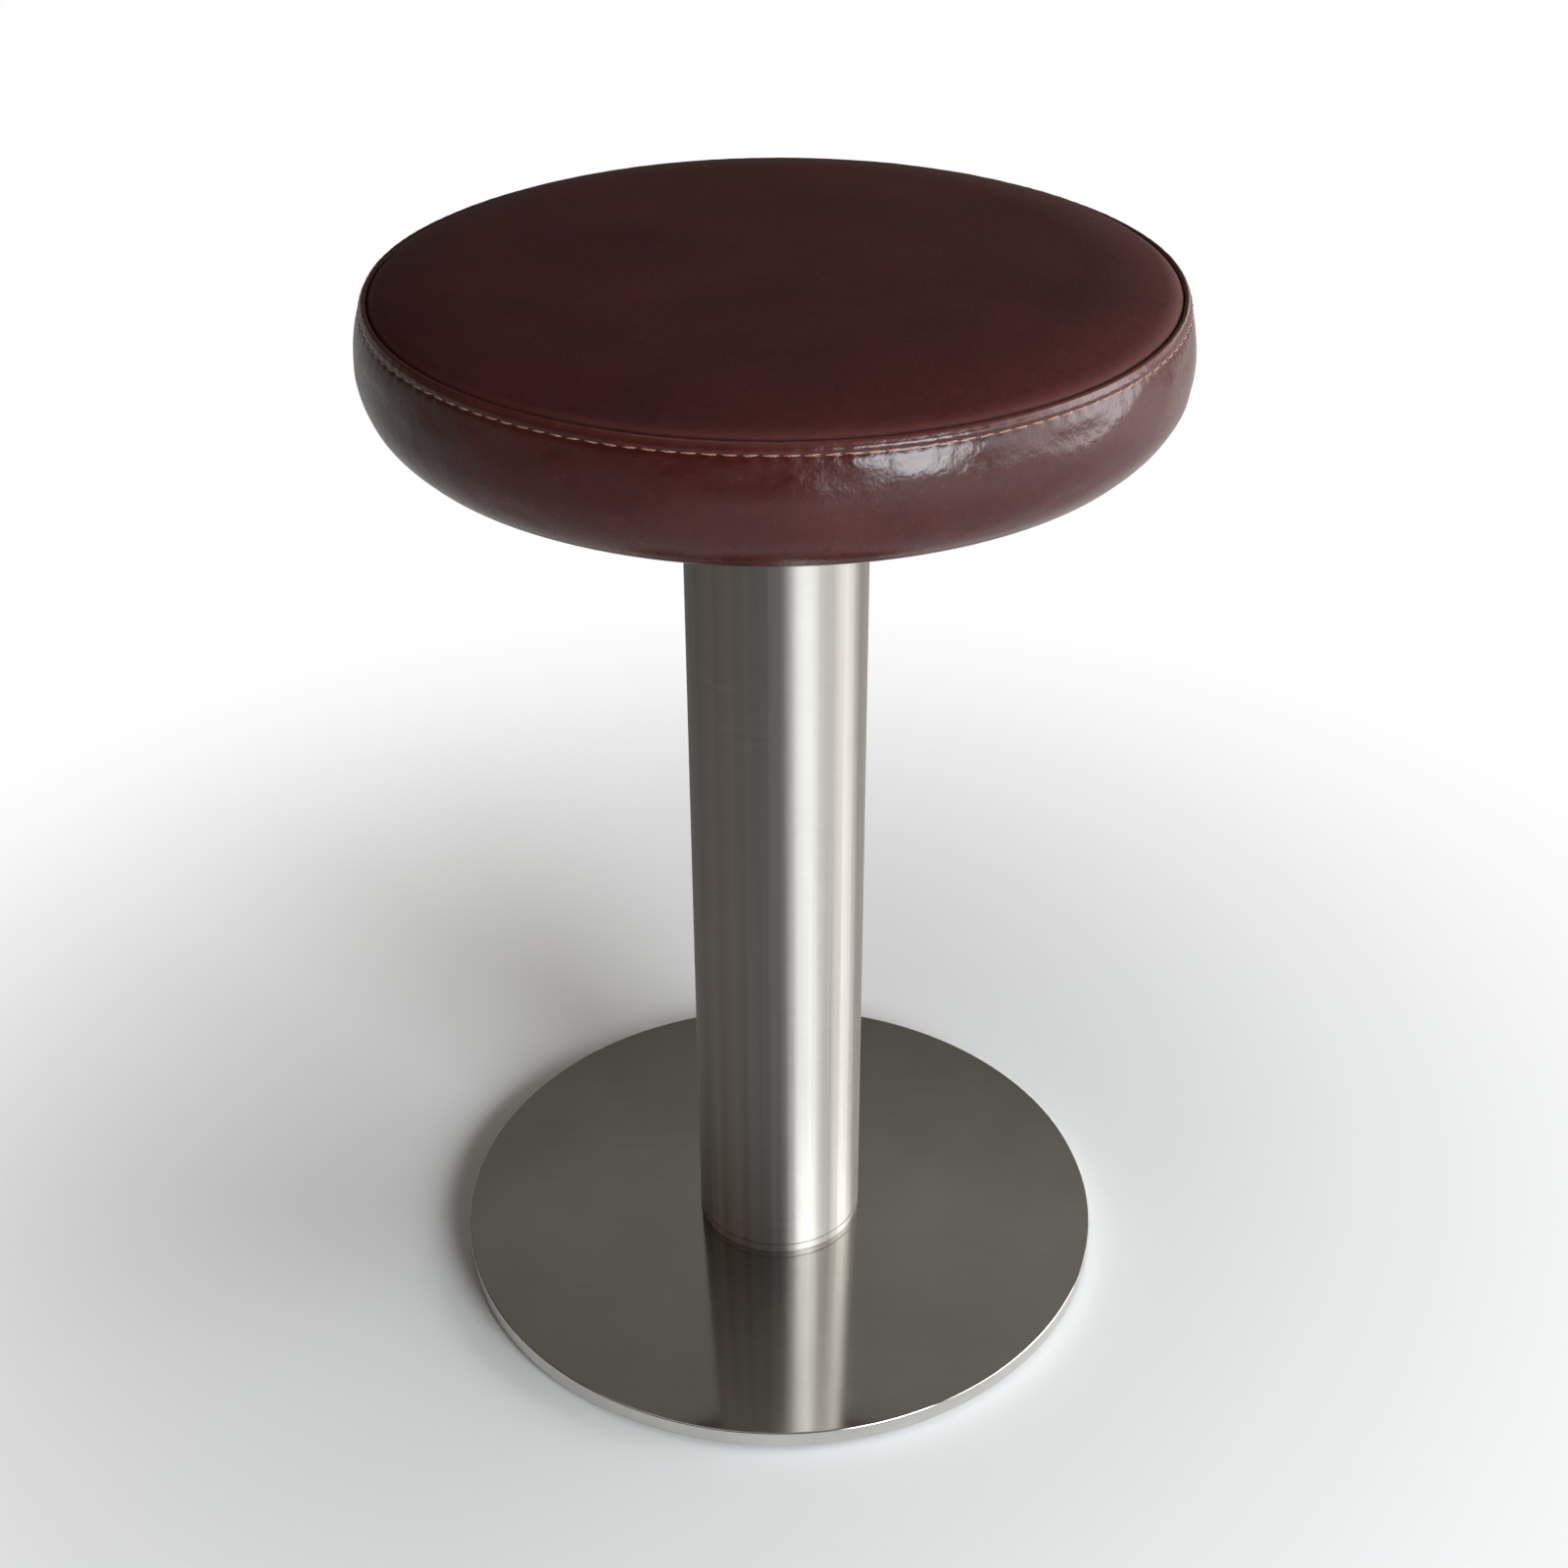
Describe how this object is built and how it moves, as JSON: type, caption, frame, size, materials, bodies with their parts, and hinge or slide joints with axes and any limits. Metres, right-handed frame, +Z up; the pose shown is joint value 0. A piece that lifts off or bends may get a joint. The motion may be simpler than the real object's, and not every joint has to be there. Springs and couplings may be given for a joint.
{
  "type": "pedestal stool",
  "caption": "Round leather-covered stool seat that swivels on a fixed steel column with a round flat base plate.",
  "frame": {"origin": "on the floor, at the middle of the base, on the column's axis", "axes": "+Z up along the column's axis; +X through the middle of a floor pad"},
  "size_m": [0.3216, 0.3216, 0.4829],
  "materials": {
    "rubber_pad": "matte black rubber",
    "base_steel": "satin polished stainless",
    "column_steel": "satin brushed stainless",
    "zinc_steel": "zinc plated",
    "bearing_steel": "ground and polished",
    "bush_nylon": "natural nylon",
    "cage_brass": "pressed brass",
    "black_steel": "black powder coat",
    "plywood": "plain plywood",
    "foam": "seat foam",
    "leather": "semi-gloss oxblood leather",
    "thread": "waxed thread",
    "dust_cloth": "black non-woven cloth"
  },
  "bodies": {
    "pedestal": {"floor_pads": "rubber_pad", "base_plate": "base_steel", "foot_screws": "zinc_steel", "foot_flange": "column_steel", "post_tube": "column_steel", "head_plug": "zinc_steel", "bearing_sleeve": "zinc_steel", "upper_bush": "bush_nylon", "lower_bush": "bush_nylon", "thrust_washer_lower": "bearing_steel"},
    "ball_cage": {"thrust_balls": "bearing_steel", "thrust_cage": "cage_brass"},
    "seat": {"thrust_washer_upper": "bearing_steel", "swivel_spindle": "bearing_steel", "spindle_washer": "zinc_steel", "spindle_circlip": "bearing_steel", "seat_plate": "black_steel", "seat_plate_screws": "zinc_steel", "t_nuts": "zinc_steel", "seat_board": "plywood", "foam_pad": "foam", "side_band": "leather", "top_panel": "leather", "seam_stitches": "thread", "cover_staples": "zinc_steel", "dust_cover": "dust_cloth", "dust_cover_staples": "zinc_steel"}
  },
  "joints": [
    {"name": "seat_swivel", "type": "hinge", "parent": "pedestal", "child": "seat", "pos_m": [0, 0, 0.415], "axis": [0, 0, 1], "continuous": true},
    {"name": "cage_spin", "type": "hinge", "parent": "pedestal", "child": "ball_cage", "pos_m": [0, 0, 0.415], "axis": [0, 0, 1], "continuous": true}
  ],
  "couplings": [
    {"joint": "cage_spin", "follows": "seat_swivel", "ratio": 0.5}
  ]
}
